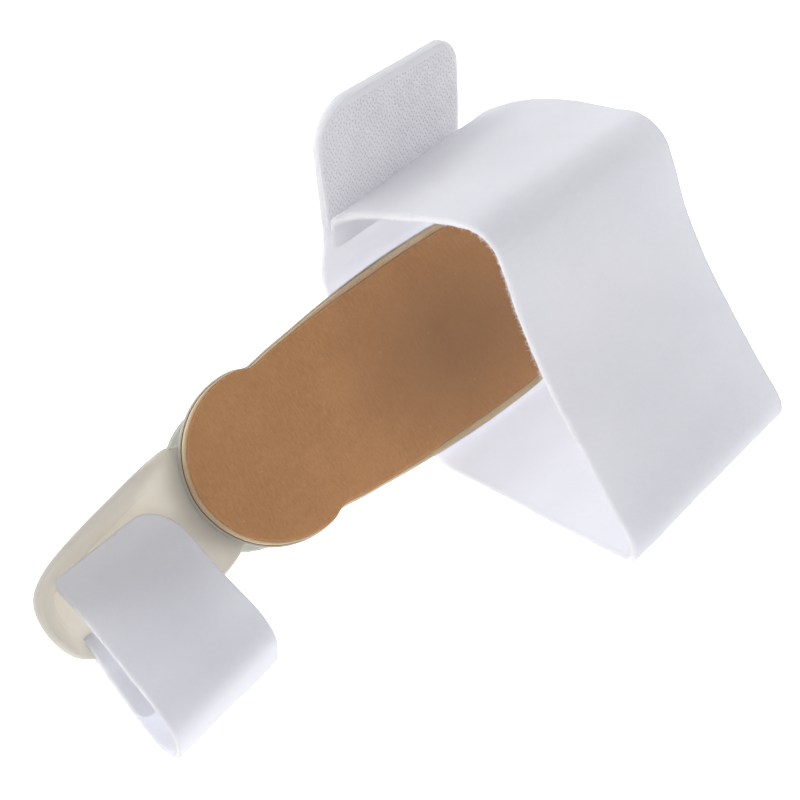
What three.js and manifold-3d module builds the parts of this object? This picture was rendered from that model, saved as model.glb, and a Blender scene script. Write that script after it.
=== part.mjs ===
// Bunion corrector lying on its plastic side, pad up, with both straps closed.
// Millimetres, +Z up. The origin is on the floor below the hinge axis.
// +X runs to the midfoot end of the pad, the toe end is at -X, the hook tab stands on the +Y side.
import * as THREE from 'three';
import Module from 'manifold-3d';

// Fits between neighbouring pieces.
const PIECE_GAP = 0.3;
const BORE_CLEARANCE = 0.3;

// Hinge cap with its stud.
const CAP_RADIUS = 19.4;
const CAP_THICKNESS = 2;
const CAP_BEVEL = 0.5;
const STUD_RADIUS = 4;
const STUD_HEAD_RADIUS = 6;
const STUD_HEAD_THICKNESS = 0.8;

// Toe splint: hub, neck and gutter.
const SPLINT_THICKNESS = 2;
const HUB_RADIUS = 16.5;
const SPLINT_REACH = 67.8;
const SPLINT_HALF = 17.2;
const RIM_HEIGHT = 12;
const RIM_WIDTH = 5.5;
const BAR_WIDTH = 4.3;
const SLOT_WIDTH = 4.6;
const SLOT_END_CLEARANCE = 2;

// Midfoot plate, foam pad and facing.
const LOBE_MIDDLE_X = 7.5;
const LOBE_RADIUS = 22.4;
const PAD_REACH = 94;
const PAD_HALF = 25.3;
const PAD_END_LENGTH = 22;
const PLATE_THICKNESS = 1.8;
const FOAM_THICKNESS = 3.2;
const COVER_THICKNESS = 0.8;
const PLATE_OUTSET = 0.5;
const COVER_LOBE_INSET = 0.5;
const COVER_REST_INSET = 1.8;
const COVER_INSET_START = 22;
const COVER_INSET_END = 60;
const STEP_LENGTH = 12;
const STEP_CLEARANCE = 2;
const TROUGH_RISE = 1;
const EDGE_DROP = 0.4;
const EDGE_DROP_WIDTH = 4.5;

// Straps.
const STRAP_THICKNESS = 2;
const HOOK_THICKNESS = 0.7;
const HOOK_MARGIN = 1.6;
const STRAP_SETBACK = 38;
const STRAP_WIDTH = 50;
const TAB_WIDTH = 44.8;
const TAB_REACH = 34.5;
const LOOP_REACH = 36.4;
const LOOP_HEIGHT = 86;
const TAB_NEAR_CORNER = 12;
const TAB_FAR_CORNER = 8;
const STRAP_END_CORNER = 2;
const TOE_STRAP_SETBACK = 7.8;
const TOE_STRAP_WIDTH = 31.8;
const TOE_START_INSET = 12.7;
const TOE_LOOP_REACH = 26.1;
const TOE_LOOP_HEIGHT = 26;
const TOE_TAIL_LENGTH = 12.5;
const TOE_HOOK_LENGTH = 9.2;
const TOE_STRAP_SKEW = 1.4;
const TOE_STRAP_NEAR_CORNER = 2;
const TOE_STRAP_FAR_CORNER = 9;
const TOE_TAIL_CORNER = 3;

// How finely the faceted pieces are cut.
const ROUND_STEPS = 48;
const STRAP_STEPS = 3;
const ACROSS_STEPS = 4;
const LOBE_STEPS = 10;
const SIDE_STEPS = 10;
const END_STEPS = 8;
const END_ANGLE = 0.06;
const PAD_ACROSS = [-1, -0.94, -0.86, -0.7, 0, 0.7, 0.86, 0.94, 1];

// Levels of the stack above the floor.
const HUB_BOTTOM = Math.max(CAP_THICKNESS, STRAP_THICKNESS) + PIECE_GAP;
const HUB_TOP = HUB_BOTTOM + SPLINT_THICKNESS;
const PLATE_LOBE_BOTTOM = HUB_TOP + PIECE_GAP;
const PLATE_REST_BOTTOM = STRAP_THICKNESS + PIECE_GAP;
const STRAP_FLOOR = STRAP_THICKNESS / 2;
const TOE_DECK = HUB_TOP + PIECE_GAP + STRAP_THICKNESS / 2;
const HOOK_LIFT = STRAP_THICKNESS / 2 + PIECE_GAP + HOOK_THICKNESS / 2;
const LAP_LIFT = STRAP_THICKNESS + PIECE_GAP + HOOK_THICKNESS;

// Places along and across that follow the sizes above.
const STRAP_NEAR_X = LOBE_MIDDLE_X + STRAP_SETBACK;
const STEP_END_X = STRAP_NEAR_X - STEP_CLEARANCE;
const STEP_START_X = STEP_END_X - STEP_LENGTH;
const PLATE_EDGE = PAD_HALF + PLATE_OUTSET;
const TOE_NEAR_X = LOBE_MIDDLE_X - SPLINT_REACH + TOE_STRAP_SETBACK;
const TOE_START_Y = SPLINT_HALF - TOE_START_INSET;
const BAR_OUTER_Y = -SPLINT_HALF;
const BAR_INNER_Y = BAR_OUTER_Y + BAR_WIDTH;

// Gutter outline from the neck on the -Y side round the tip to the neck on the +Y side.
// along: share of SPLINT_REACH towards -X from the middle of the pad's lobe. side: share of SPLINT_HALF. rim: share of RIM_HEIGHT.
const GUTTER_OUTLINE = [
  { along: 0.252, side: -0.779, rim: 0 },
  { along: 0.29, side: -0.866, rim: 0 },
  { along: 0.35, side: -0.952, rim: 0 },
  { along: 0.42, side: -0.998, rim: 0 },
  { along: 0.56, side: -0.978, rim: 0 },
  { along: 0.70, side: -0.959, rim: 0 },
  { along: 0.82, side: -0.931, rim: 0 },
  { along: 0.905, side: -0.863, rim: 0 },
  { along: 0.962, side: -0.691, rim: 0.13 },
  { along: 0.995, side: -0.403, rim: 0.55 },
  { along: 1.0, side: -0.077, rim: 0.68 },
  { along: 0.975, side: 0.23, rim: 0.74 },
  { along: 0.9, side: 0.451, rim: 0.82 },
  { along: 0.75, side: 0.633, rim: 0.94 },
  { along: 0.6, side: 0.758, rim: 1 },
  { along: 0.47, side: 0.854, rim: 0.88 },
  { along: 0.385, side: 0.885, rim: 0.32 },
  { along: 0.31, side: 0.866, rim: 0.02 },
  { along: 0.252, side: 0.779, rim: 0 },
];

// Section of the gutter wall. in: share of RIM_WIDTH from the rim. up: share of the rim's rise.
const WALL_PROFILE = [
  { in: 0, up: 1 },
  { in: 0.1, up: 0.8 },
  { in: 0.24, up: 0.56 },
  { in: 0.42, up: 0.31 },
  { in: 0.66, up: 0.1 },
  { in: 1, up: 0 },
];

// Side of the pad past its lobe. along: share of PAD_REACH from the middle of the lobe. half: share of PAD_HALF.
const PAD_SIDE = [
  { along: 0.04, half: 0.873 },
  { along: 0.07, half: 0.82 },
  { along: 0.1, half: 0.828 },
  { along: 0.14, half: 0.854 },
  { along: 0.21, half: 0.883 },
  { along: 0.3, half: 0.923 },
  { along: 0.4, half: 0.96 },
  { along: 0.57, half: 1 },
  { along: 0.766, half: 1 },
];

// Midfoot strap from the end of the hook tab to where the upper layer comes down on the tab.
// nearSide and farSide: up to 1, shares of the plate's half-width under the pad; what is above 1 is a
// share of TAB_REACH (positive) or LOOP_REACH (negative) beyond the plate's edge.
// nearUp and farUp: shares of LOOP_HEIGHT above the lower layer.
// wide: share of the way from TAB_WIDTH (0) to STRAP_WIDTH (1).
const MIDFOOT_STRAP = [
  { nearSide: 1.997, nearUp: 0.565, farSide: 1.997, farUp: 0.565, wide: 0 },
  { nearSide: 1.854, nearUp: 0.492, farSide: 1.854, farUp: 0.492, wide: 0 },
  { nearSide: 1.638, nearUp: 0.381, farSide: 1.638, farUp: 0.381, wide: 0 },
  { nearSide: 1.423, nearUp: 0.271, farSide: 1.423, farUp: 0.271, wide: 0 },
  { nearSide: 1.258, nearUp: 0.17, farSide: 1.258, farUp: 0.17, wide: 0.3 },
  { nearSide: 1.149, nearUp: 0.073, farSide: 1.149, farUp: 0.073, wide: 0.8 },
  { nearSide: 1.055, nearUp: 0.017, farSide: 1.055, farUp: 0.017, wide: 1 },
  { nearSide: 0.886, nearUp: 0, farSide: 0.886, farUp: 0, wide: 1 },
  { nearSide: 0.455, nearUp: 0, farSide: 0.455, farUp: 0, wide: 1 },
  { nearSide: 0, nearUp: 0, farSide: 0, farUp: 0, wide: 1 },
  { nearSide: -0.455, nearUp: 0, farSide: -0.455, farUp: 0, wide: 1 },
  { nearSide: -0.886, nearUp: 0, farSide: -0.886, farUp: 0, wide: 1 },
  { nearSide: -1.052, nearUp: 0.019, farSide: -1.052, farUp: 0.019, wide: 1 },
  { nearSide: -1.21, nearUp: 0.13, farSide: -1.193, farUp: 0.12, wide: 1 },
  { nearSide: -1.416, nearUp: 0.277, farSide: -1.313, farUp: 0.282, wide: 1 },
  { nearSide: -1.657, nearUp: 0.433, farSide: -1.502, farUp: 0.464, wide: 1 },
  { nearSide: -1.845, nearUp: 0.565, farSide: -1.657, farUp: 0.616, wide: 1 },
  { nearSide: -1.952, nearUp: 0.644, farSide: -1.777, farUp: 0.717, wide: 1 },
  { nearSide: -2, nearUp: 0.697, farSide: -1.828, farUp: 0.772, wide: 1 },
  { nearSide: -1.923, nearUp: 0.742, farSide: -1.76, farUp: 0.816, wide: 1 },
  { nearSide: -1.605, nearUp: 0.769, farSide: -1.416, farUp: 0.834, wide: 1 },
  { nearSide: -1.21, nearUp: 0.8, farSide: -1.004, farUp: 0.856, wide: 1 },
  { nearSide: -0.718, nearUp: 0.834, farSide: -0.575, farUp: 0.879, wide: 1 },
  { nearSide: -0.096, nearUp: 0.901, farSide: -0.144, farUp: 0.919, wide: 1 },
  { nearSide: 0.263, nearUp: 0.957, farSide: 0.263, farUp: 0.978, wide: 1 },
  { nearSide: 0.493, nearUp: 0.98, farSide: 0.493, farUp: 1, wide: 1 },
  { nearSide: 0.694, nearUp: 0.949, farSide: 0.694, farUp: 0.975, wide: 1 },
  { nearSide: 0.934, nearUp: 0.818, farSide: 0.886, farUp: 0.889, wide: 1 },
  { nearSide: 1.149, nearUp: 0.616, farSide: 1.131, farUp: 0.747, wide: 1 },
  { nearSide: 1.28, nearUp: 0.469, farSide: 1.312, farUp: 0.575, wide: 1 },
];
const TAB_ROWS = 7;

// Lapped end of the upper layer on the inner face of the tab.
// nearRow and farRow: place on the tab, counted in rows of MIDFOOT_STRAP.
// clear: gap over the hooks in shares of PIECE_GAP.
const MIDFOOT_LAP = [
  { nearRow: 2.9, farRow: 2.55, clear: 3.5 },
  { nearRow: 3.25, farRow: 2.95, clear: 1.5 },
  { nearRow: 3.7, farRow: 3.45, clear: 1 },
];

// Loop of the toe strap from its start in the gutter to the lower layer.
// nearSide and farSide: shares of the way from the start (0) to the fold (1) in Y.
// nearUp and farUp: shares of TOE_LOOP_HEIGHT above the base.
// deck: base level between the floor (0) and the gutter's floor (1). skew: share of TOE_STRAP_SKEW.
const TOE_STRAP_LOOP = [
  { nearSide: -0.001, nearUp: 0.125, farSide: -0.045, farUp: 0.005, deck: 1, skew: 0.429 },
  { nearSide: 0.094, nearUp: 0.185, farSide: 0.085, farUp: 0.01, deck: 1, skew: 0.214 },
  { nearSide: 0.185, nearUp: 0.265, farSide: 0.185, farUp: 0.075, deck: 1, skew: 0 },
  { nearSide: 0.339, nearUp: 0.452, farSide: 0.321, farUp: 0.202, deck: 0.9, skew: 0 },
  { nearSide: 0.547, nearUp: 0.649, farSide: 0.511, farUp: 0.469, deck: 0.75, skew: 0 },
  { nearSide: 0.728, nearUp: 0.844, farSide: 0.656, farUp: 0.704, deck: 0.55, skew: 0 },
  { nearSide: 0.846, nearUp: 0.87, farSide: 0.774, farUp: 0.74, deck: 0.35, skew: 0 },
  { nearSide: 0.946, nearUp: 0.686, farSide: 0.864, farUp: 0.546, deck: 0.2, skew: 0 },
  { nearSide: 1, nearUp: 0.397, farSide: 0.928, farUp: 0.307, deck: 0.08, skew: 0.357 },
  { nearSide: 0.964, nearUp: 0.142, farSide: 0.9, farUp: 0.102, deck: 0, skew: 0.643 },
  { nearSide: 0.846, nearUp: 0, farSide: 0.828, farUp: 0, deck: 0, skew: 0.786 },
  { nearSide: 0.656, nearUp: 0, farSide: 0.656, farUp: 0, deck: 0, skew: 0.929 },
];

// Turn of the toe strap round the bar, in degrees from straight down.
const BAR_TURN = [0, 45, 90, 135, 180];

const wasm = await Module();
wasm.setup();
const { Manifold, Mesh: SolidMesh } = wasm;

function signedVolume(points, faces) {
  let sum = 0;
  for (const [a, b, c] of faces) {
    sum += points[a].dot(new THREE.Vector3().crossVectors(points[b], points[c])) / 6;
  }
  return sum;
}

// A manifold from points and triangles, turned so that it faces out.
function solidFrom(points, faces) {
  const outward = signedVolume(points, faces) > 0;
  const vertProperties = new Float32Array(points.length * 3);
  points.forEach((p, i) => vertProperties.set([p.x, p.y, p.z], i * 3));
  const triVerts = new Uint32Array(faces.length * 3);
  faces.forEach(([a, b, c], i) => triVerts.set(outward ? [a, b, c] : [a, c, b], i * 3));
  return new Manifold(new SolidMesh({ numProp: 3, vertProperties, triVerts }));
}

function geometryFrom(solid) {
  const mesh = solid.getMesh();
  const geometry = new THREE.BufferGeometry();
  const positions = new Float32Array(mesh.numVert * 3);
  for (let i = 0; i < mesh.numVert; i += 1) {
    for (let k = 0; k < 3; k += 1) {
      positions[i * 3 + k] = mesh.vertProperties[i * mesh.numProp + k];
    }
  }
  geometry.setAttribute('position', new THREE.BufferAttribute(positions, 3));
  geometry.setIndex(new THREE.BufferAttribute(new Uint32Array(mesh.triVerts), 1));
  geometry.computeVertexNormals();
  return geometry;
}

// Two grids of points, one on each face of a sheet, closed round their border.
function sheetSolid(upper, lower) {
  const rows = upper.length;
  const columns = upper[0].length;
  const points = [...upper.flat(), ...lower.flat()];
  const top = (r, c) => r * columns + c;
  const bottom = (r, c) => rows * columns + r * columns + c;
  const faces = [];
  for (let r = 0; r + 1 < rows; r += 1) {
    for (let c = 0; c + 1 < columns; c += 1) {
      faces.push([top(r, c), top(r + 1, c), top(r + 1, c + 1)]);
      faces.push([top(r, c), top(r + 1, c + 1), top(r, c + 1)]);
      faces.push([bottom(r, c), bottom(r + 1, c + 1), bottom(r + 1, c)]);
      faces.push([bottom(r, c), bottom(r, c + 1), bottom(r + 1, c + 1)]);
    }
  }
  const wall = (r0, c0, r1, c1) => {
    faces.push([top(r0, c0), top(r1, c1), bottom(r1, c1)]);
    faces.push([top(r0, c0), bottom(r1, c1), bottom(r0, c0)]);
  };
  for (let r = 0; r + 1 < rows; r += 1) {
    wall(r + 1, 0, r, 0);
    wall(r, columns - 1, r + 1, columns - 1);
  }
  for (let c = 0; c + 1 < columns; c += 1) {
    wall(0, c, 0, c + 1);
    wall(rows - 1, c + 1, rows - 1, c);
  }
  return solidFrom(points, faces);
}

// A strap as two edge curves that run side by side.
function strapPath(rows) {
  const near = new THREE.CatmullRomCurve3(rows.map((row) => row.near), false, 'centripetal');
  const far = new THREE.CatmullRomCurve3(rows.map((row) => row.far), false, 'centripetal');
  const lengths = [0];
  const samples = (rows.length - 1) * STRAP_STEPS;
  const middle = (u) => near.getPoint(u).add(far.getPoint(u)).multiplyScalar(0.5);
  for (let i = 1; i <= samples; i += 1) {
    const step = middle(i / samples).distanceTo(middle((i - 1) / samples));
    lengths.push(lengths[i - 1] + step);
  }
  return { near, far, lengths, samples };
}

// Share of the curves at a distance in millimetres from the start.
function shareAt(path, distance) {
  const last = path.samples;
  let i = 1;
  while (i < last && path.lengths[i] < distance) {
    i += 1;
  }
  const span = path.lengths[i] - path.lengths[i - 1];
  const part = Math.min(1, Math.max(0, (distance - path.lengths[i - 1]) / span));
  return (i - 1 + part) / last;
}

// How far a rounded corner draws the edge in, at a distance from the end of the strap.
function cornerInset(distance, radius) {
  if (distance >= radius) {
    return 0;
  }
  const rest = radius - distance;
  return radius - Math.sqrt(radius * radius - rest * rest);
}

// Ribbon between two distances on a path. corners: radii at the start and the end, near and far edge.
function ribbon(path, { from, to, offset, thickness, inset, corners }) {
  const stops = new Set([from, to]);
  for (let i = 0; i <= path.samples; i += 1) {
    if (path.lengths[i] > from + 0.4 && path.lengths[i] < to - 0.4) {
      stops.add(path.lengths[i]);
    }
  }
  for (const share of [0.04, 0.14, 0.3, 0.5, 0.75, 1]) {
    stops.add(from + share * Math.max(corners.startNear, corners.startFar));
    stops.add(to - share * Math.max(corners.endNear, corners.endFar));
  }
  const sorted = [...stops].sort((a, b) => a - b);
  const upper = [];
  const lower = [];
  for (const distance of sorted) {
    const u = shareAt(path, distance);
    const nearPoint = path.near.getPoint(u);
    const farPoint = path.far.getPoint(u);
    nearPoint.z = Math.max(nearPoint.z, STRAP_FLOOR);
    farPoint.z = Math.max(farPoint.z, STRAP_FLOOR);
    const across = farPoint.clone().sub(nearPoint).normalize();
    const nearNormal = path.near.getTangent(u).cross(across).normalize();
    const farNormal = path.far.getTangent(u).cross(across).normalize();
    const fromStart = distance - from;
    const fromEnd = to - distance;
    const drawNear = Math.max(cornerInset(fromStart, corners.startNear), cornerInset(fromEnd, corners.endNear));
    const drawFar = Math.max(cornerInset(fromStart, corners.startFar), cornerInset(fromEnd, corners.endFar));
    nearPoint.addScaledVector(across, inset + drawNear);
    farPoint.addScaledVector(across, -inset - drawFar);
    const upperRow = [];
    const lowerRow = [];
    for (let k = 0; k <= ACROSS_STEPS; k += 1) {
      const share = k / ACROSS_STEPS;
      const point = nearPoint.clone().lerp(farPoint, share);
      const normal = nearNormal.clone().lerp(farNormal, share).normalize();
      upperRow.push(point.clone().addScaledVector(normal, offset + thickness / 2));
      lowerRow.push(point.clone().addScaledVector(normal, offset - thickness / 2));
    }
    upper.push(upperRow);
    lower.push(lowerRow);
  }
  return sheetSolid(upper, lower);
}

function smoothStep(value, start, end) {
  const t = Math.min(1, Math.max(0, (value - start) / (end - start)));
  return t * t * (3 - 2 * t);
}

// Outline of the pad as rows of x and half-width, from the lobe to the midfoot end.
// outsetAt gives how far the outline lies outside the foam's at a place in X.
function padRows(outsetAt) {
  const rows = [];
  const lobeEnd = Math.acos(PAD_SIDE[0].along * PAD_REACH / LOBE_RADIUS);
  const lobeStart = Math.PI - END_ANGLE;
  for (let i = 0; i <= LOBE_STEPS; i += 1) {
    const angle = lobeStart + (lobeEnd - lobeStart) * (i / LOBE_STEPS);
    rows.push({ x: LOBE_RADIUS * Math.cos(angle), half: LOBE_RADIUS * Math.sin(angle) });
  }
  const side = new THREE.CatmullRomCurve3(
    PAD_SIDE.map((row) => new THREE.Vector3(row.along * PAD_REACH, row.half * PAD_HALF, 0)),
    false,
    'centripetal',
  );
  for (let i = 1; i <= SIDE_STEPS; i += 1) {
    const point = side.getPoint(i / SIDE_STEPS);
    rows.push({ x: point.x, half: point.y });
  }
  for (let i = 1; i <= END_STEPS; i += 1) {
    const angle = (Math.PI / 2 - END_ANGLE) * (i / END_STEPS);
    rows.push({
      x: PAD_REACH - PAD_END_LENGTH + PAD_END_LENGTH * Math.sin(angle),
      half: PAD_HALF * Math.cos(angle),
    });
  }
  return rows.map((row, i) => {
    const before = rows[Math.max(0, i - 1)];
    const after = rows[Math.min(rows.length - 1, i + 1)];
    const run = new THREE.Vector2(after.x - before.x, after.half - before.half).normalize();
    const outset = outsetAt(LOBE_MIDDLE_X + row.x);
    return {
      x: LOBE_MIDDLE_X + row.x - run.y * outset,
      half: row.half + run.x * outset,
    };
  });
}

function padEdgeDistance(rows, x, y) {
  let best = Infinity;
  const side = Math.abs(y);
  for (const row of rows) {
    best = Math.min(best, Math.hypot(row.x - x, row.half - side));
  }
  return best;
}

// Underside of the plate: high over the hinge, low over the strap, with a shallow trough.
function plateBottom(x, y) {
  const rest = smoothStep(x, STEP_START_X, STEP_END_X);
  const level = PLATE_LOBE_BOTTOM + (PLATE_REST_BOTTOM - PLATE_LOBE_BOTTOM) * rest;
  const share = y / PAD_HALF;
  return level + TROUGH_RISE * rest * share * share;
}

// A layer of the pad between two heights above the underside of the plate.
function padLayer(outsetAt, low, high) {
  const rows = padRows(outsetAt);
  const edge = padRows(() => 0);
  const upper = [];
  const lower = [];
  for (const row of rows) {
    const ys = PAD_ACROSS.map((share) => share * row.half);
    lower.push(ys.map((y) => new THREE.Vector3(row.x, y, plateBottom(row.x, y) + low(row.x, y, edge))));
    upper.push(ys.map((y) => new THREE.Vector3(row.x, y, plateBottom(row.x, y) + high(row.x, y, edge))));
  }
  return sheetSolid(upper, lower);
}

// Height that the pad loses towards its edge, where the foam is pressed thin.
function edgeDrop(x, y, edge) {
  const distance = Math.min(EDGE_DROP_WIDTH, padEdgeDistance(edge, x, y));
  const rest = 1 - distance / EDGE_DROP_WIDTH;
  return EDGE_DROP * rest * rest;
}

// Foam left bare round the facing: narrow at the lobe, wider at the midfoot.
function coverInset(x) {
  const rest = smoothStep(x, COVER_INSET_START, COVER_INSET_END);
  return COVER_LOBE_INSET + (COVER_REST_INSET - COVER_LOBE_INSET) * rest;
}

function cylinder(radius, bottom, top) {
  return Manifold.cylinder(top - bottom, radius, radius, ROUND_STEPS).translate([0, 0, bottom]);
}

// Hinge cap and stud, turned about the hinge axis.
function hingeCap() {
  const stem = PLATE_LOBE_BOTTOM + PLATE_THICKNESS + PIECE_GAP;
  const head = stem + STUD_HEAD_THICKNESS;
  const disc = cylinder(CAP_RADIUS, CAP_BEVEL, CAP_THICKNESS - CAP_BEVEL);
  const lowBevel = Manifold.cylinder(CAP_BEVEL, CAP_RADIUS - CAP_BEVEL, CAP_RADIUS, ROUND_STEPS);
  const highBevel = Manifold.cylinder(CAP_BEVEL, CAP_RADIUS, CAP_RADIUS - CAP_BEVEL, ROUND_STEPS)
    .translate([0, 0, CAP_THICKNESS - CAP_BEVEL]);
  const stud = cylinder(STUD_RADIUS, CAP_THICKNESS - CAP_BEVEL, stem + STUD_HEAD_THICKNESS / 2);
  const studHead = cylinder(STUD_HEAD_RADIUS, stem, head);
  return Manifold.union([disc, lowBevel, highBevel, stud, studHead]);
}

// Outline of the toe splint: hub arc and gutter, each point with the rise of its rim.
function splintOutline() {
  const toe = GUTTER_OUTLINE.map((row) => new THREE.Vector3(
    LOBE_MIDDLE_X - row.along * SPLINT_REACH,
    row.side * SPLINT_HALF,
    row.rim * (RIM_HEIGHT - SPLINT_THICKNESS),
  ));
  const curve = new THREE.CatmullRomCurve3(toe, false, 'centripetal');
  const toeSteps = 46;
  const outline = [];
  for (let i = 0; i <= toeSteps; i += 1) {
    const point = curve.getPoint(i / toeSteps);
    point.z = Math.max(0, point.z);
    outline.push(point);
  }
  const start = Math.atan2(outline[toeSteps].y, outline[toeSteps].x);
  const end = Math.atan2(outline[0].y, outline[0].x);
  const hubSteps = 24;
  for (let i = 1; i < hubSteps; i += 1) {
    const angle = start + (end - start) * (i / hubSteps);
    outline.push(new THREE.Vector3(HUB_RADIUS * Math.cos(angle), HUB_RADIUS * Math.sin(angle), 0));
  }
  return outline;
}

// The toe splint: a flat floor with a wall that follows WALL_PROFILE along the outline.
function toeSplint() {
  const outline = splintOutline();
  const count = outline.length;
  const spineEnd = LOBE_MIDDLE_X - SPLINT_REACH + SPLINT_HALF * 0.75;
  const outer = WALL_PROFILE.map((step) => outline.map((point) => {
    const spine = new THREE.Vector2(Math.min(0, Math.max(spineEnd, point.x)), 0);
    const inward = spine.sub(new THREE.Vector2(point.x, point.y)).normalize();
    const distance = step.in * RIM_WIDTH;
    return new THREE.Vector3(
      point.x + inward.x * distance,
      point.y + inward.y * distance,
      HUB_BOTTOM + point.z * step.up,
    );
  }));
  const rings = outer.length;
  const inner = outer.map((ring, r) => ring.map((point, i) => {
    const alongRing = ring[(i + 1) % count].clone().sub(ring[(i + count - 1) % count]);
    const next = outer[Math.min(rings - 1, r + 1)][i];
    const before = outer[Math.max(0, r - 1)][i];
    const inward = next.clone().sub(before);
    if (r === rings - 1) {
      inward.z = 0;
    }
    const normal = new THREE.Vector3().crossVectors(alongRing, inward).normalize();
    if (normal.z < 0) {
      normal.negate();
    }
    return point.clone().addScaledVector(normal, SPLINT_THICKNESS);
  }));
  for (const point of inner[rings - 1]) {
    point.z = HUB_BOTTOM + SPLINT_THICKNESS;
  }
  const layers = [...[...outer].reverse(), ...inner];
  const points = layers.flat();
  const faces = [];
  for (let r = 0; r + 1 < layers.length; r += 1) {
    for (let i = 0; i < count; i += 1) {
      const j = (i + 1) % count;
      const a = r * count + i;
      const b = r * count + j;
      const c = (r + 1) * count + j;
      const d = (r + 1) * count + i;
      faces.push([a, b, c], [a, c, d]);
    }
  }
  const capOf = (layer, flip) => {
    const flat = layers[layer].map((point) => new THREE.Vector2(point.x, point.y));
    for (const [a, b, c] of THREE.ShapeUtils.triangulateShape(flat, [])) {
      const tri = [a, b, c].map((k) => layer * count + k);
      const turn = new THREE.Vector2().subVectors(flat[b], flat[a]).cross(new THREE.Vector2().subVectors(flat[c], flat[a]));
      const up = turn > 0;
      faces.push(up === flip ? [tri[0], tri[2], tri[1]] : tri);
    }
  };
  const ringTurn = THREE.ShapeUtils.area(outline.map((point) => new THREE.Vector2(point.x, point.y))) > 0;
  capOf(0, ringTurn);
  capOf(layers.length - 1, !ringTurn);
  const body = solidFrom(points, faces);
  const bore = cylinder(STUD_RADIUS + BORE_CLEARANCE, 0, HUB_TOP + 1);
  const slotMiddleX = TOE_NEAR_X - TOE_STRAP_SKEW + TOE_STRAP_WIDTH / 2;
  const straight = TOE_STRAP_WIDTH / 2 + SLOT_END_CLEARANCE - SLOT_WIDTH / 2;
  const slotY = BAR_INNER_Y + SLOT_WIDTH / 2;
  const ends = [-straight, straight].map((dx) => Manifold
    .cylinder(HUB_BOTTOM + RIM_HEIGHT, SLOT_WIDTH / 2, SLOT_WIDTH / 2, ROUND_STEPS / 2)
    .translate([slotMiddleX + dx, slotY, 0]));
  const slot = Manifold.hull(ends);
  return body.subtract(bore).subtract(slot);
}

function material(name, color, roughness, opacity = 1) {
  const made = new THREE.MeshStandardMaterial({ color, roughness, metalness: 0 });
  made.name = name;
  if (opacity < 1) {
    made.transparent = true;
    made.opacity = opacity;
  }
  return made;
}

const part = new THREE.Group();
part.name = 'bunion_corrector';

function add(name, solid, look) {
  const mesh = new THREE.Mesh(geometryFrom(solid), look);
  mesh.name = name;
  part.add(mesh);
}

const hingePlastic = material('hinge_plastic', 0xc4c8c2, 0.4);
const splintPlastic = material('splint_plastic', 0xd6ccb8, 0.4);
const platePlastic = material('plate_plastic', 0xe6e4dc, 0.3);
const foam = material('foam', 0xd8c49a, 0.9);
const suede = material('suede', 0xa07252, 0.95);
const fleece = material('fleece', 0xf2f3f6, 0.95);
const hookTape = material('hook_tape', 0xf6f7f8, 0.6);

add('hinge_cap', hingeCap(), hingePlastic);
add('toe_splint', toeSplint(), splintPlastic);

const plateHole = cylinder(STUD_RADIUS + BORE_CLEARANCE, 0, PLATE_LOBE_BOTTOM + PLATE_THICKNESS + 1);
const plate = padLayer(() => PLATE_OUTSET, () => 0, () => PLATE_THICKNESS);
add('midfoot_plate', plate.subtract(plateHole), platePlastic);

const foamLow = PLATE_THICKNESS + PIECE_GAP;
const foamHigh = foamLow + FOAM_THICKNESS;
const studTop = PLATE_LOBE_BOTTOM + foamLow + STUD_HEAD_THICKNESS;
const recess = cylinder(STUD_HEAD_RADIUS + PIECE_GAP, 0, studTop + PIECE_GAP);
const foamPad = padLayer(() => 0, () => foamLow, (x, y, edge) => foamHigh - edgeDrop(x, y, edge));
add('pad_foam', foamPad.subtract(recess), foam);

const coverLow = foamHigh + PIECE_GAP;
const cover = padLayer(
  (x) => -coverInset(x),
  (x, y, edge) => coverLow - edgeDrop(x, y, edge),
  (x, y, edge) => coverLow + COVER_THICKNESS - edgeDrop(x, y, edge),
);
add('pad_cover', cover, suede);

// Place in Y of a side share of the midfoot strap.
function midfootSide(share) {
  if (Math.abs(share) <= 1) {
    return share * PLATE_EDGE;
  }
  return share > 0 ? PLATE_EDGE + (share - 1) * TAB_REACH : -PLATE_EDGE + (share + 1) * LOOP_REACH;
}

function midfootUp(share) {
  return STRAP_FLOOR + share * (LOOP_HEIGHT - STRAP_FLOOR);
}

// Point beside the tab at a place counted in rows, lifted off its inner face for the lapped end.
function lapPoint(curve, row, clear, x) {
  const share = row / (TAB_ROWS - 1);
  const tangent = curve.getTangent(share);
  const point = curve.getPoint(share);
  const lift = LAP_LIFT + clear * PIECE_GAP;
  return new THREE.Vector3(x, point.y + tangent.z * lift, point.z - tangent.y * lift);
}

const midfootRows = MIDFOOT_STRAP.map((row) => {
  const width = TAB_WIDTH + (STRAP_WIDTH - TAB_WIDTH) * row.wide;
  return {
    near: new THREE.Vector3(STRAP_NEAR_X, midfootSide(row.nearSide), midfootUp(row.nearUp)),
    far: new THREE.Vector3(STRAP_NEAR_X + width, midfootSide(row.farSide), midfootUp(row.farUp)),
  };
});
const tabCurve = new THREE.CatmullRomCurve3(
  midfootRows.slice(0, TAB_ROWS).map((row) => new THREE.Vector3(0, row.near.y, row.near.z)),
  false,
  'centripetal',
);
for (const row of MIDFOOT_LAP) {
  midfootRows.push({
    near: lapPoint(tabCurve, row.nearRow, row.clear, STRAP_NEAR_X),
    far: lapPoint(tabCurve, row.farRow, row.clear, STRAP_NEAR_X + STRAP_WIDTH),
  });
}
const midfootPath = strapPath(midfootRows);
const midfootLength = midfootPath.lengths[midfootPath.samples];
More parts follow.
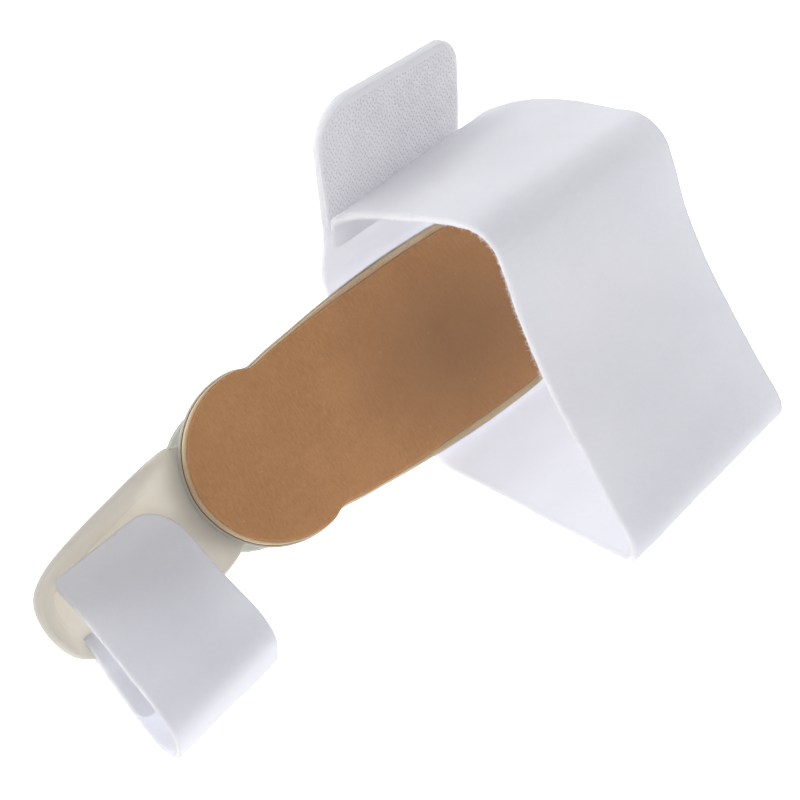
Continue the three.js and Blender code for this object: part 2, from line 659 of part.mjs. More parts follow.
const midfootStrap = ribbon(midfootPath, {
  from: 0,
  to: midfootLength,
  offset: 0,
  thickness: STRAP_THICKNESS,
  inset: 0,
  corners: {
    startNear: TAB_NEAR_CORNER,
    startFar: TAB_FAR_CORNER,
    endNear: STRAP_END_CORNER,
    endFar: STRAP_END_CORNER,
  },
});
add('midfoot_strap', midfootStrap, fleece);

const midfootHooks = ribbon(midfootPath, {
  from: HOOK_MARGIN,
  to: midfootPath.lengths[3 * STRAP_STEPS + 1],
  offset: HOOK_LIFT,
  thickness: HOOK_THICKNESS,
  inset: HOOK_MARGIN,
  corners: {
    startNear: TAB_NEAR_CORNER,
    startFar: TAB_FAR_CORNER,
    endNear: STRAP_END_CORNER,
    endFar: STRAP_END_CORNER,
  },
});
add('midfoot_hooks', midfootHooks, hookTape);

const toeFoldY = BAR_OUTER_Y - TOE_LOOP_REACH;
const toePoint = (x, side, up, deck) => new THREE.Vector3(
  x,
  TOE_START_Y + side * (toeFoldY - TOE_START_Y),
  STRAP_FLOOR + deck * (TOE_DECK - STRAP_FLOOR) + up * TOE_LOOP_HEIGHT,
);
const toeRows = TOE_STRAP_LOOP.map((row) => {
  const nearX = TOE_NEAR_X - row.skew * TOE_STRAP_SKEW;
  return {
    near: toePoint(nearX, row.nearSide, row.nearUp, row.deck),
    far: toePoint(nearX + TOE_STRAP_WIDTH, row.farSide, row.farUp, row.deck),
  };
});

// Rows of the toe strap with both edges level, past the bar.
function levelToeRow(y, z) {
  const nearX = TOE_NEAR_X - TOE_STRAP_SKEW;
  toeRows.push({
    near: new THREE.Vector3(nearX, y, z),
    far: new THREE.Vector3(nearX + TOE_STRAP_WIDTH, y, z),
  });
}

const barMiddleZ = HUB_BOTTOM + SPLINT_THICKNESS / 2;
const turnRadius = barMiddleZ - STRAP_FLOOR;
const turnY = BAR_INNER_Y - 0.2 * SPLINT_THICKNESS;
const tailLevel = STRAP_FLOOR + LAP_LIFT + PIECE_GAP;
levelToeRow(BAR_OUTER_Y - STRAP_THICKNESS, STRAP_FLOOR);
for (const degrees of BAR_TURN) {
  const angle = THREE.MathUtils.degToRad(degrees);
  levelToeRow(turnY + turnRadius * Math.sin(angle), barMiddleZ - turnRadius * Math.cos(angle));
}
const tailY = BAR_OUTER_Y - 2 * STRAP_THICKNESS;
levelToeRow(BAR_OUTER_Y - PIECE_GAP, barMiddleZ + turnRadius);
levelToeRow(tailY, tailLevel);
levelToeRow(tailY - TOE_TAIL_LENGTH / 2, tailLevel);
levelToeRow(tailY - TOE_TAIL_LENGTH, tailLevel);
const toePath = strapPath(toeRows);
const toeLength = toePath.lengths[toePath.samples];
const toeStrap = ribbon(toePath, {
  from: 0,
  to: toeLength,
  offset: 0,
  thickness: STRAP_THICKNESS,
  inset: 0,
  corners: {
    startNear: TOE_STRAP_NEAR_CORNER,
    startFar: TOE_STRAP_FAR_CORNER,
    endNear: TOE_TAIL_CORNER,
    endFar: TOE_TAIL_CORNER,
  },
});
add('toe_strap', toeStrap, fleece);

const toeHooks = ribbon(toePath, {
  from: toeLength - HOOK_MARGIN - TOE_HOOK_LENGTH,
  to: toeLength - HOOK_MARGIN,
  offset: -HOOK_LIFT,
  thickness: HOOK_THICKNESS,
  inset: HOOK_MARGIN,
  corners: { startNear: 0, startFar: 0, endNear: STRAP_END_CORNER, endFar: STRAP_END_CORNER },
});
add('toe_hooks', toeHooks, hookTape);

export default part;
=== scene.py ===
"""Bunion corrector lying pad side up, with both straps closed, in the frame of the CAD model."""

import math

import bpy
import numpy as np
from mathutils import Matrix, Vector, noise


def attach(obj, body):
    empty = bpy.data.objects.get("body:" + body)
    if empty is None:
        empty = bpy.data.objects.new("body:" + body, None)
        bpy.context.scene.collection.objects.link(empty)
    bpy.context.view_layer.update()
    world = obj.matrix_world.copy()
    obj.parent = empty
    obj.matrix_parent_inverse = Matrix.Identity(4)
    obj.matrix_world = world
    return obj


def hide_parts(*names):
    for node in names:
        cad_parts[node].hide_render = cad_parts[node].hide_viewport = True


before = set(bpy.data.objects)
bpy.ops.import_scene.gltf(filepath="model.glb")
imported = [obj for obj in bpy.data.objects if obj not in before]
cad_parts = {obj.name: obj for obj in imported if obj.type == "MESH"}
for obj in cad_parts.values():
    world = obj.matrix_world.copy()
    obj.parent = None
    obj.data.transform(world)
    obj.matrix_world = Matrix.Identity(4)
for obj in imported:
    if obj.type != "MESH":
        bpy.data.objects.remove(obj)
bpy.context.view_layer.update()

# Sizes and points are in millimetres, as in the CAD model, and make() turns them into metres.
MM = 0.001
GAP = 0.3
STRAP = 2.0
SPLINT = 2.0
PLATE = 1.8
FOAM = 3.2
COVER = 0.8
HOOK = 0.7
HUB_BOTTOM = STRAP + GAP
HUB_TOP = HUB_BOTTOM + SPLINT
LOBE_X = 7.5
LOBE_RADIUS = 22.4
PAD_REACH = 94.0
PAD_HALF = 25.3
PAD_END = 22.0
PLATE_OUTSET = 0.5
COVER_LOBE_INSET = 0.5
COVER_REST_INSET = 1.8
COVER_INSET_START = 22.0
COVER_INSET_END = 60.0
PRESSED_WIDTH = 4.5
SPLINT_REACH = 67.8
SPLINT_HALF = 17.2
HUB_RADIUS = 16.5
RIM_RISE = 10.0
RIM_WIDTH = 5.5
RIM_ROUND = 0.9
BAR_WIDTH = 4.3
SLOT_WIDTH = 4.6
SLOT_END_CLEARANCE = 2.0
SPLINT_SHARP = 38
STUD_RADIUS = 4.0
STRAP_NEAR = LOBE_X + 38.0
STEP_END = STRAP_NEAR - 2.0
STEP_START = STEP_END - 12.0
STRAP_WIDTH = 50.0
TAB_WIDTH = 44.8
TAB_REACH = 34.5
LOOP_REACH = 36.4
LOOP_HEIGHT = 86.0
TOE_NEAR = LOBE_X - SPLINT_REACH + 7.8
TOE_WIDTH = 31.8
TOE_START = SPLINT_HALF - 12.7
TOE_FOLD = -SPLINT_HALF - 26.1
TOE_HEIGHT = 26.0
TOE_SKEW = 1.4
TOE_TAIL = 12.5
PLATE_EDGE = PAD_HALF + PLATE_OUTSET
LAP_LIFT = STRAP + GAP + HOOK
HOOK_PITCH = 1.2
# Corner radii of a strap: start near, start far, end near, end far.
TAB_CORNERS = (12.0, 8.0, 2.0, 2.0)
TOE_CORNERS = (2.0, 9.0, 3.0, 3.0)
TOE_TAIL_CORNERS = (0.0, 0.0, 2.0, 2.0)
# Samples of a strap's edge from one row of its table to the next.
ROW_STEPS = 24
# The turn of the pad's outline that is left out where it meets the middle line.
END_ANGLE = 0.05

# along, side, rim: shares of the splint's reach, half-width and rim rise.
GUTTER = [
    (0.252, -0.779, 0), (0.29, -0.866, 0), (0.35, -0.952, 0), (0.42, -0.998, 0), (0.56, -0.978, 0),
    (0.7, -0.959, 0), (0.82, -0.931, 0), (0.905, -0.863, 0), (0.962, -0.691, 0.13), (0.995, -0.403, 0.55),
    (1.0, -0.077, 0.68), (0.975, 0.23, 0.74), (0.9, 0.451, 0.82), (0.75, 0.633, 0.94), (0.6, 0.758, 1),
    (0.47, 0.854, 0.88), (0.385, 0.885, 0.32), (0.31, 0.866, 0.02), (0.252, 0.779, 0),
]
# inward, up: shares of the rim width and of the rim rise.
WALL = [(0, 1), (0.1, 0.8), (0.24, 0.56), (0.42, 0.31), (0.66, 0.1), (1, 0)]
# along, half: shares of the pad's reach and half-width, past the lobe.
PAD_SIDE = [
    (0.04, 0.873), (0.07, 0.82), (0.1, 0.828), (0.14, 0.854), (0.21, 0.883), (0.3, 0.923), (0.4, 0.96),
    (0.57, 1), (0.766, 1),
]
# near side, near up, far side, far up, wide: shares, as in the section tables of the straps.
MIDFOOT = [
    (1.997, 0.565, 1.997, 0.565, 0), (1.854, 0.492, 1.854, 0.492, 0), (1.638, 0.381, 1.638, 0.381, 0),
    (1.423, 0.271, 1.423, 0.271, 0), (1.258, 0.17, 1.258, 0.17, 0.3), (1.149, 0.073, 1.149, 0.073, 0.8),
    (1.055, 0.017, 1.055, 0.017, 1), (0.886, 0, 0.886, 0, 1), (0.455, 0, 0.455, 0, 1), (0, 0, 0, 0, 1),
    (-0.455, 0, -0.455, 0, 1), (-0.886, 0, -0.886, 0, 1), (-1.052, 0.019, -1.052, 0.019, 1),
    (-1.21, 0.13, -1.193, 0.12, 1), (-1.416, 0.277, -1.313, 0.282, 1), (-1.657, 0.433, -1.502, 0.464, 1),
    (-1.845, 0.565, -1.657, 0.616, 1), (-1.952, 0.644, -1.777, 0.717, 1), (-2, 0.697, -1.828, 0.772, 1),
    (-1.923, 0.742, -1.76, 0.816, 1), (-1.605, 0.769, -1.416, 0.834, 1), (-1.21, 0.8, -1.004, 0.856, 1),
    (-0.718, 0.834, -0.575, 0.879, 1), (-0.096, 0.901, -0.144, 0.919, 1), (0.263, 0.957, 0.263, 0.978, 1),
    (0.493, 0.98, 0.493, 1, 1), (0.694, 0.949, 0.694, 0.975, 1), (0.934, 0.818, 0.886, 0.889, 1),
    (1.149, 0.616, 1.131, 0.747, 1), (1.28, 0.469, 1.312, 0.575, 1),
]
# Rows of the table above that lie on the tab.
TAB_ROWS = 7
# near row, far row, clearance over the hooks in gaps.
LAP = [(2.9, 2.55, 3.5), (3.25, 2.95, 1.5), (3.7, 3.45, 1)]
# near side, near up, far side, far up, deck, skew.
TOE_LOOP = [
    (-0.001, 0.125, -0.045, 0.005, 1, 0.429), (0.094, 0.185, 0.085, 0.01, 1, 0.214),
    (0.185, 0.265, 0.185, 0.075, 1, 0), (0.339, 0.452, 0.321, 0.202, 0.9, 0),
    (0.547, 0.649, 0.511, 0.469, 0.75, 0), (0.728, 0.844, 0.656, 0.704, 0.55, 0),
    (0.846, 0.87, 0.774, 0.74, 0.35, 0), (0.946, 0.686, 0.864, 0.546, 0.2, 0),
    (1, 0.397, 0.928, 0.307, 0.08, 0.357), (0.964, 0.142, 0.9, 0.102, 0, 0.643),
    (0.846, 0, 0.828, 0, 0, 0.786), (0.656, 0, 0.656, 0, 0, 0.929),
]


# Curves and meshes

def spline(points, steps):
    """Centripetal Catmull-Rom through the points, with steps samples to a span."""
    p = np.array(points, float)
    p = np.vstack([2 * p[0] - p[1], p, 2 * p[-1] - p[-2]])
    out = []
    for i in range(1, len(p) - 2):
        p0, p1, p2, p3 = p[i - 1 : i + 3]
        d0, d1, d2 = (max(np.linalg.norm(b - a) ** 0.5, 1e-4) for a, b in ((p0, p1), (p1, p2), (p2, p3)))
        t1 = ((p1 - p0) / d0 - (p2 - p0) / (d0 + d1) + (p2 - p1) / d1) * d1
        t2 = ((p2 - p1) / d1 - (p3 - p1) / (d1 + d2) + (p3 - p2) / d2) * d1
        for k in range(steps):
            t = k / steps
            out.append(
                p1 + t1 * t + (-3 * p1 + 3 * p2 - 2 * t1 - t2) * t * t + (2 * p1 - 2 * p2 + t1 + t2) * t**3
            )
    out.append(p[-2])
    return np.array(out)


def unit(v):
    """The vectors, each of length one."""
    return v / np.maximum(np.linalg.norm(v, axis=-1, keepdims=True), 1e-12)


def make(name, verts, faces, material, body, stands_for=(), slot=None, sharp=50):
    """A mesh object from points in millimetres, riding on a body."""
    mesh = bpy.data.meshes.new(name)
    mesh.from_pydata((np.asarray(verts) * MM).tolist(), [], [list(map(int, f)) for f in faces])
    mesh.validate()
    mesh.polygons.foreach_set("use_smooth", [True] * len(mesh.polygons))
    mesh.set_sharp_from_angle(angle=math.radians(sharp))
    obj = bpy.data.objects.new(name, mesh)
    bpy.context.scene.collection.objects.link(obj)
    mesh.materials.append(material)
    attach(obj, body)
    if stands_for:
        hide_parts(*stands_for)
    return obj


def attribute(obj, name, values):
    """A number at each point of the mesh, for its material to read."""
    layer = obj.data.attributes.new(name, "FLOAT", "POINT")
    layer.data.foreach_set("value", np.asarray(values, dtype=np.float32))


def tube_faces(rings, size):
    """Quads between successive closed rings of points."""
    faces = []
    for r in range(rings - 1):
        a, b = r * size, (r + 1) * size
        for i in range(size):
            j = (i + 1) % size
            faces.append((a + i, a + j, b + j, b + i))
    return faces


def outward(verts, faces):
    """The faces, turned round if the closed mesh faces in."""
    verts = np.asarray(verts)
    total = 0.0
    for f in faces:
        for k in range(1, len(f) - 1):
            total += verts[f[0]] @ np.cross(verts[f[k]], verts[f[k + 1]])
    return faces if total > 0 else [tuple(reversed(f)) for f in faces]


def grid_faces(n, m):
    """Quads of a closed slab: an upper grid of n by m points, a lower one after it, and the wall."""
    faces = []
    for r in range(n - 1):
        for c in range(m - 1):
            a, b = r * m + c, (r + 1) * m + c
            faces.append((a, b, b + 1, a + 1))
            faces.append((n * m + a, n * m + a + 1, n * m + b + 1, n * m + b))
    border = [r * m for r in range(n)] + [(n - 1) * m + c for c in range(1, m)]
    border += [r * m + m - 1 for r in range(n - 2, -1, -1)] + [c for c in range(m - 2, 0, -1)]
    for i, a in enumerate(border):
        b = border[(i + 1) % len(border)]
        faces.append((b, a, n * m + a, n * m + b))
    return faces


def arc_inset(distance, radius):
    """How far a quarter arc of the radius falls back at a distance from the edge."""
    rest = np.clip(radius - distance, 0, radius)
    return radius - np.sqrt(np.maximum(radius * radius - rest * rest, 0))


# Materials

class Look:
    """A node material: a Principled shader, with a share of light let through by a Translucent one."""

    def __init__(self, name, through=0.0, **values):
        self.material = bpy.data.materials.new(name)
        self.material.use_nodes = True
        self.tree = self.material.node_tree
        self.tree.nodes.clear()
        out = self.tree.nodes.new("ShaderNodeOutputMaterial")
        self.shader = self.add("ShaderNodeBsdfPrincipled", **values)
        self.thin = None
        last = self.shader.outputs[0]
        if through:
            self.thin = self.add("ShaderNodeBsdfTranslucent")
            mixed = self.tree.nodes.new("ShaderNodeMixShader")
            mixed.inputs[0].default_value = through
            self.tree.links.new(self.shader.outputs[0], mixed.inputs[1])
            self.tree.links.new(self.thin.outputs[0], mixed.inputs[2])
            last = mixed.outputs[0]
        self.tree.links.new(last, out.inputs[0])
        self.coords = self.add("ShaderNodeTexCoord").outputs["Object"]

    def add(self, kind, props=None, **values):
        node = self.tree.nodes.new(kind)
        for key, value in (props or {}).items():
            setattr(node, key, value)
        for key, value in values.items():
            socket = node.inputs[key.replace("_", " ")]
            if isinstance(value, bpy.types.NodeSocket):
                self.tree.links.new(value, socket)
            else:
                socket.default_value = value
        return node

    def stretched(self, x, y, z):
        return self.add("ShaderNodeMapping", Vector=self.coords, Scale=(x, y, z)).outputs[0]

    def noise(self, scale, detail=4.0, roughness=0.5, vector=None):
        vector = vector or self.coords
        node = self.add("ShaderNodeTexNoise", Vector=vector, Scale=scale, Detail=detail, Roughness=roughness)
        return node.outputs["Fac"]

    def span(self, value, low, high, to_low=0.0, to_high=1.0):
        node = self.add("ShaderNodeMapRange")
        self.tree.links.new(value, node.inputs["Value"])
        for key, number in (("From Min", low), ("From Max", high), ("To Min", to_low), ("To Max", to_high)):
            node.inputs[key].default_value = number
        return node.outputs[0]

    def mix(self, factor, a, b, blend="MIX"):
        node = self.tree.nodes.new("ShaderNodeMix")
        node.data_type = "RGBA"
        node.blend_type = blend
        for index, value in ((0, factor), (6, a), (7, b)):
            if isinstance(value, bpy.types.NodeSocket):
                self.tree.links.new(value, node.inputs[index])
            else:
                node.inputs[index].default_value = value
        return node.outputs[2]

    def colour(self, socket):
        self.tree.links.new(socket, self.shader.inputs["Base Color"])
        if self.thin:
            self.tree.links.new(socket, self.thin.inputs["Color"])

    def rough(self, socket):
        self.tree.links.new(socket, self.shader.inputs["Roughness"])

    def bump(self, height, strength, distance, before=None):
        node = self.add("ShaderNodeBump", Height=height, Strength=strength, Distance=distance)
        if before:
            self.tree.links.new(before, node.inputs["Normal"])
        self.tree.links.new(node.outputs[0], self.shader.inputs["Normal"])
        return node.outputs[0]

    def attribute(self, name):
        return self.add("ShaderNodeAttribute", {"attribute_name": name}).outputs["Fac"]


def tone(r, g, b):
    """An opaque colour."""
    return (r, g, b, 1.0)


def fleece_look(name, low, high, rim, through):
    """Brushed fleece with a fine pile, paler along its cut edges."""
    look = Look(
        name, through=through, Roughness=0.95, Sheen_Weight=0.12, Sheen_Roughness=0.5, Specular_IOR_Level=0.1
    )
    broad = look.noise(38, 3)
    pile = look.noise(1500, 5, 0.7)
    tufts = look.noise(420, 4, 0.6)
    body = look.mix(look.span(broad, 0.35, 0.65), low, high)
    body = look.mix(look.span(pile, 0.3, 0.7, 0, 0.22), body, tone(1, 1, 1), "SOFT_LIGHT")
    edge = look.span(look.attribute("edge"), 0.05, 0.5, 0.8, 0.0)
    look.colour(look.mix(edge, body, rim))
    first = look.bump(tufts, 0.25, 0.0005)
    look.bump(pile, 0.5, 0.00025, first)
    return look.material


def suede_look():
    """Brown suede facing with a nap and a painted shadow: a darker spot where the strap shades the pad."""
    look = Look("suede", Roughness=0.95, Sheen_Weight=0.35, Sheen_Roughness=0.45, Specular_IOR_Level=0.15)
    look.shader.inputs["Sheen Tint"].default_value = tone(0.75, 0.5, 0.34)
    broad = look.noise(60, 4, 0.6)
    nap = look.noise(1.0, 5, 0.65, look.stretched(1700, 520, 900))
    grain = look.noise(2200, 4, 0.6)
    base = look.mix(look.span(broad, 0.35, 0.65), tone(0.46, 0.23, 0.1), tone(0.52, 0.265, 0.118))
    base = look.mix(look.span(nap, 0.35, 0.7, 0, 0.5), base, tone(0.62, 0.345, 0.175))
    base = look.mix(look.span(grain, 0.3, 0.5, 0.22, 0), base, tone(0.3, 0.145, 0.062))
    # Painted shadow: a soft darker spot on the pad beside the strap, standing in for the shade the strap
    # casts.
    strap_shadow_place = look.add("ShaderNodeMapping", Vector=look.coords, Location=(-1.75, 0.07, 0), Scale=(26, 34, 0))
    press_dip_and_shade = look.add("ShaderNodeVectorMath", {"operation": "LENGTH"})
    look.tree.links.new(strap_shadow_place.outputs[0], press_dip_and_shade.inputs[0])
    base = look.mix(look.span(press_dip_and_shade.outputs["Value"], 0.2, 1.1, 0.75, 0), base, tone(0.3, 0.16, 0.085))
    speck = look.add("ShaderNodeTexVoronoi", Vector=look.coords, Scale=210.0).outputs["Distance"]
    look.colour(look.mix(look.span(speck, 0.02, 0.07, 0.35, 0), base, tone(0.7, 0.48, 0.3)))
    first = look.bump(nap, 0.35, 0.0003)
    look.bump(grain, 0.3, 0.0002, first)
    return look.material


def foam_look():
    """Cream foam with fine open cells."""
    look = Look("foam", through=0.15, Roughness=0.9, Specular_IOR_Level=0.2)
    cells = look.add("ShaderNodeTexVoronoi", Vector=look.coords, Scale=1600.0).outputs["Distance"]
    broad = look.noise(90, 3)
    base = look.mix(look.span(broad, 0.35, 0.65), tone(0.66, 0.49, 0.31), tone(0.74, 0.57, 0.38))
    look.colour(look.mix(look.span(cells, 0.1, 0.5, 0.35, 0), base, tone(0.5, 0.36, 0.22)))
    look.bump(cells, 0.5, 0.0003)
    return look.material


def plastic_look(name, low, high, rough, through, marked=True):
    """Moulded plastic that lets some light through, with faint marks along it."""
    look = Look(name, through=through, IOR=1.46, Specular_IOR_Level=0.3)
    broad = look.noise(45, 3)
    fine = look.noise(900, 3)
    marks = look.noise(1.0, 4, 0.6, look.stretched(160, 2400, 400))
    look.colour(look.mix(look.span(broad, 0.35, 0.65), low, high))
    look.rough(look.span(marks, 0.3, 0.75, rough - 0.06, rough + 0.1))
    if marked:
        look.bump(fine, 0.12, 0.0001)
    return look.material


def hook_look():
    """White nylon of the hook tape, with its weave."""
    look = Look("hook_tape", through=0.95, Roughness=0.6, Specular_IOR_Level=0.2)
    weave = look.noise(1.0, 3, 0.5, look.stretched(900, 2400, 2400))
    broad = look.noise(70, 3)
    base = look.mix(look.span(broad, 0.35, 0.65), tone(0.95, 0.945, 0.94), tone(0.98, 0.975, 0.97))
    look.colour(look.mix(look.span(weave, 0.3, 0.7, 0, 0.2), base, tone(0.9, 0.895, 0.89)))
    look.bump(weave, 0.3, 0.0001)
    return look.material


def fibre_look(name, low, high):
    """Loose fibres of the fleece."""
    look = Look(name, Roughness=0.8, Sheen_Weight=0.2)
    shade = look.noise(300, 2)
    look.colour(look.mix(look.span(shade, 0.3, 0.7), low, high))
    return look.material


FLEECE = fleece_look(
    "fleece", tone(0.85, 0.855, 0.895), tone(0.88, 0.885, 0.92), tone(0.95, 0.95, 0.96), 0.45
)
# Painted light: a brighter copy of the same fleece, letting less light through, for the toe strap that the
# splint shades from below.
BRIGHTENED_TOE_FLEECE = fleece_look(
    "toe_fleece", tone(0.88, 0.885, 0.935), tone(0.91, 0.915, 0.96), tone(0.96, 0.96, 0.97), 0.3
)
SUEDE = suede_look()
FOAM_LOOK = foam_look()
SPLINT_LOOK = plastic_look("splint_plastic", tone(0.75, 0.72, 0.67), tone(0.795, 0.77, 0.72), 0.42, 0.45)
PLATE_LOOK = plastic_look("plate_plastic", tone(0.7, 0.66, 0.6), tone(0.76, 0.73, 0.68), 0.35, 0.45, False)
HINGE_LOOK = plastic_look("hinge_plastic", tone(0.66, 0.67, 0.63), tone(0.72, 0.73, 0.69), 0.32, 0.4)
HOOK_LOOK = hook_look()
# Painted shadow: the dark look of a thin sheet that stands in for the shade in the gap between plate and
# foam.
GAP_SHADOW_LOOK = plastic_look("gap_shadow", tone(0.12, 0.085, 0.05), tone(0.16, 0.12, 0.075), 0.5, 0.0)
WHITE_FIBRE = fibre_look("white_fibre", tone(0.86, 0.86, 0.89), tone(0.989, 0.989, 1.0))


# Pad and plate

def pad_rows(outset, lobe_steps=44, side_steps=9, end_steps=30, smoothings=4):
    """Half the pad's outline, from the lobe to the far end, moved out by a number or a function of x."""
    rows = []
    lobe_end = math.acos(PAD_SIDE[0][0] * PAD_REACH / LOBE_RADIUS)
    lobe_start = math.pi - END_ANGLE
    for i in range(lobe_steps + 1):
        angle = lobe_start + (lobe_end - lobe_start) * i / lobe_steps
        rows.append((LOBE_RADIUS * math.cos(angle), LOBE_RADIUS * math.sin(angle)))
    side = spline([(a * PAD_REACH, h * PAD_HALF) for a, h in PAD_SIDE], side_steps)
    rows += [tuple(p) for p in side[1:]]
    for i in range(1, end_steps + 1):
        angle = (math.pi / 2 - END_ANGLE) * i / end_steps
        rows.append((PAD_REACH - PAD_END + PAD_END * math.sin(angle), PAD_HALF * math.cos(angle)))
    rows = np.array(rows)
    for _ in range(smoothings):
        soft = rows.copy()
        soft[2:-2] = (rows[:-4] + 2 * rows[1:-3] + 3 * rows[2:-2] + 2 * rows[3:-1] + rows[4:]) / 9
        rows = soft
    run = unit(np.gradient(rows, axis=0))
    if callable(outset):
        outset = outset(rows[:, 0] + LOBE_X)[:, None]
    out = rows + np.stack([-run[:, 1], run[:, 0]], axis=1) * outset
    out[:, 0] += LOBE_X
    out[:, 1] = np.maximum(out[:, 1], 0.5)
    return out


def smooth_step(value, start, end):
    """0 before the start, 1 past the end and a soft step between."""
    t = np.clip((value - start) / (end - start), 0, 1)
    return t * t * (3 - 2 * t)


def cover_outset(x):
    """The facing's edge lies within the foam's, more so away from the lobe."""
    rest = smooth_step(x, COVER_INSET_START, COVER_INSET_END)
    return -COVER_LOBE_INSET - (COVER_REST_INSET - COVER_LOBE_INSET) * rest


def plate_bottom(x, y):
    """Height of the plate's underside: over the hub at the lobe, over the strap past the step."""
    rest = smooth_step(x, STEP_START, STEP_END)
    level = HUB_TOP + GAP + (STRAP - HUB_TOP) * rest
    return level + rest * (y / PAD_HALF) ** 2


def edge_distance(rows, x, y):
    """Distance of each point from the pad's whole outline."""
    a, b = rows[:-1], rows[1:]
    ends = np.array([[rows[0], (rows[0][0], -rows[0][1])], [rows[-1], (rows[-1][0], -rows[-1][1])]])
    a = np.vstack([a, ends[:, 0]])
    b = np.vstack([b, ends[:, 1]])
    p = np.stack([x, np.abs(y)], axis=-1)[..., None, :]
    ab = b - a
    t = np.clip(((p - a) * ab).sum(-1) / np.maximum((ab * ab).sum(-1), 1e-9), 0, 1)
    return np.linalg.norm(p - (a + t[..., None] * ab), axis=-1).min(-1)


def pad_layer(outset, low, high, top_round, low_round, press=0.0, lumps=0.0):
    """A layer of the pad as a closed mesh: a grid for each face and a wall between them."""
    rows = pad_rows(outset)
    shares = np.sin(np.linspace(-1, 1, 45) * math.pi / 2)
    x = np.repeat(rows[:, :1], len(shares), axis=1)
    y = rows[:, 1:] * shares
    distance = edge_distance(rows, x, y)
    press_dip_and_shade = press * np.clip(1 - distance / PRESSED_WIDTH, 0, 1) ** 2
    base = plate_bottom(x, y)
    up = base + high - press_dip_and_shade - arc_inset(distance, top_round)
    down = base + low + arc_inset(distance, low_round)
    if lumps:
        wave = [[noise.noise(Vector((a * 0.07, b * 0.09, 3.0))) for a, b in zip(r, s)] for r, s in zip(x, y)]
        up += lumps * np.array(wave) * np.clip(distance / 3, 0, 1)
    top = np.stack([x, y, up], axis=-1).reshape(-1, 3)
    bottom = np.stack([x, y, down], axis=-1).reshape(-1, 3)
    verts = np.vstack([top, bottom])
    return verts, outward(verts, grid_faces(*x.shape))


# Straps

class Strap:
    """A strap between two edge curves, resampled to even steps along its middle."""

    def __init__(self, near, far, step=0.9):
        near, far = spline(near, ROW_STEPS), spline(far, ROW_STEPS)
        near[:, 2] = np.maximum(near[:, 2], STRAP / 2)
        far[:, 2] = np.maximum(far[:, 2], STRAP / 2)
        middle = (near + far) / 2
        run = np.concatenate([[0], np.cumsum(np.linalg.norm(np.diff(middle, axis=0), axis=1))])
        self.length = run[-1]
        self.run, self.near, self.far = run, near, far
        self.step = step

    def at(self, edge, stops):
        return np.stack([np.interp(stops, self.run, edge[:, k]) for k in range(3)], axis=1)

    def tangent(self, edge, stops, reach=0.6):
        return unit(self.at(edge, stops + reach) - self.at(edge, stops - reach))

    def sample(self, stops):
        """Points of both edges, the way across, and the normal at each edge."""
        near = self.at(self.near, stops)
        far = self.at(self.far, stops)
        across = unit(far - near)
        near_normal = unit(np.cross(self.tangent(self.near, stops), across))
        far_normal = unit(np.cross(self.tangent(self.far, stops), across))
        return near, far, across, near_normal, far_normal


def strap_surface(strap, start, end, offset, inset, corners, columns):
    """Middle surface points, normals, distances from the nearest edge, and the stops along the strap."""
    stops = np.arange(start, end, strap.step)
    extra = np.array([0.02, 0.1, 0.25, 0.5, 0.8])
    stops = np.unique(np.concatenate([stops, [end], start + extra, end - extra]))
    near, far, across, n0, n1 = strap.sample(stops)
    from_start, from_end = stops - start, end - stops
    draw_near = np.maximum(arc_inset(from_start, corners[0]), arc_inset(from_end, corners[2]))
    draw_far = np.maximum(arc_inset(from_start, corners[1]), arc_inset(from_end, corners[3]))
    near = near + across * (inset + draw_near)[:, None]
    far = far - across * (inset + draw_far)[:, None]
    share = (1 - np.cos(np.linspace(0, math.pi, columns + 1))) / 2
    share = 0.45 * share + 0.55 * np.linspace(0, 1, columns + 1)
    points = near[:, None] + (far - near)[:, None] * share[None, :, None]
    normals = unit(n0[:, None] * (1 - share)[None, :, None] + n1[:, None] * share[None, :, None])
    width = np.linalg.norm(far - near, axis=1)[:, None]
    edge = np.minimum(share * width, (1 - share) * width)
    ends = np.minimum(from_start, from_end)[:, None] + 0 * edge
    return points + normals * offset, normals, np.minimum(edge, ends), stops


def field(points, size, seed):
    """Soft noise at each point, with lumps of about the size."""
    flat = points.reshape(-1, 3) / size
    values = [noise.noise(Vector((p[0] + seed, p[1] - seed, p[2] + 2 * seed))) for p in flat]
    return np.array(values).reshape(points.shape[:-1])


def strap_mesh(name, strap, start, end, offset, thickness, inset, corners, columns, material, body,
               stands_for, slot, soft=1.0, edge_round=0.6, taper=0.0):
    """A strap or tape with rounded edges, made uneven by soft and thinned towards its end by taper."""
    points, normals, edge, stops = strap_surface(strap, start, end, offset, inset, corners, columns)
    half = thickness / 2
    round_part = np.clip(edge / edge_round, 0, 1)
    body_half = half * np.sqrt(1 - (1 - round_part) ** 2) * 0.86 + half * 0.14
    if taper:
        thin = 1 - 0.7 * np.clip(1 - (end - stops) / taper, 0, 1)[:, None]
        points = points + normals * (half * (1 - thin))[..., None]
        body_half = body_half * thin
    sway = soft * (0.22 * field(points, 16, 3.1) + 0.1 * field(points, 5, 7.7))
    fluff_up = soft * 0.07 * field(points, 1.7, 1.3)
    fluff_low = soft * 0.07 * field(points, 1.7, 9.3)
    upper = points + normals * (body_half + sway + fluff_up)[..., None]
    lower = points + normals * (sway - body_half + fluff_low)[..., None]
    upper[..., 2] = np.maximum(upper[..., 2], 0.05)
    lower[..., 2] = np.maximum(lower[..., 2], 0.05)
    verts = np.vstack([upper.reshape(-1, 3), lower.reshape(-1, 3)])
    faces = outward(verts, grid_faces(*edge.shape))
    obj = make(name, verts, faces, material, body, stands_for, slot, sharp=75)
    attribute(obj, "edge", np.tile(edge.reshape(-1), 2))
    return obj


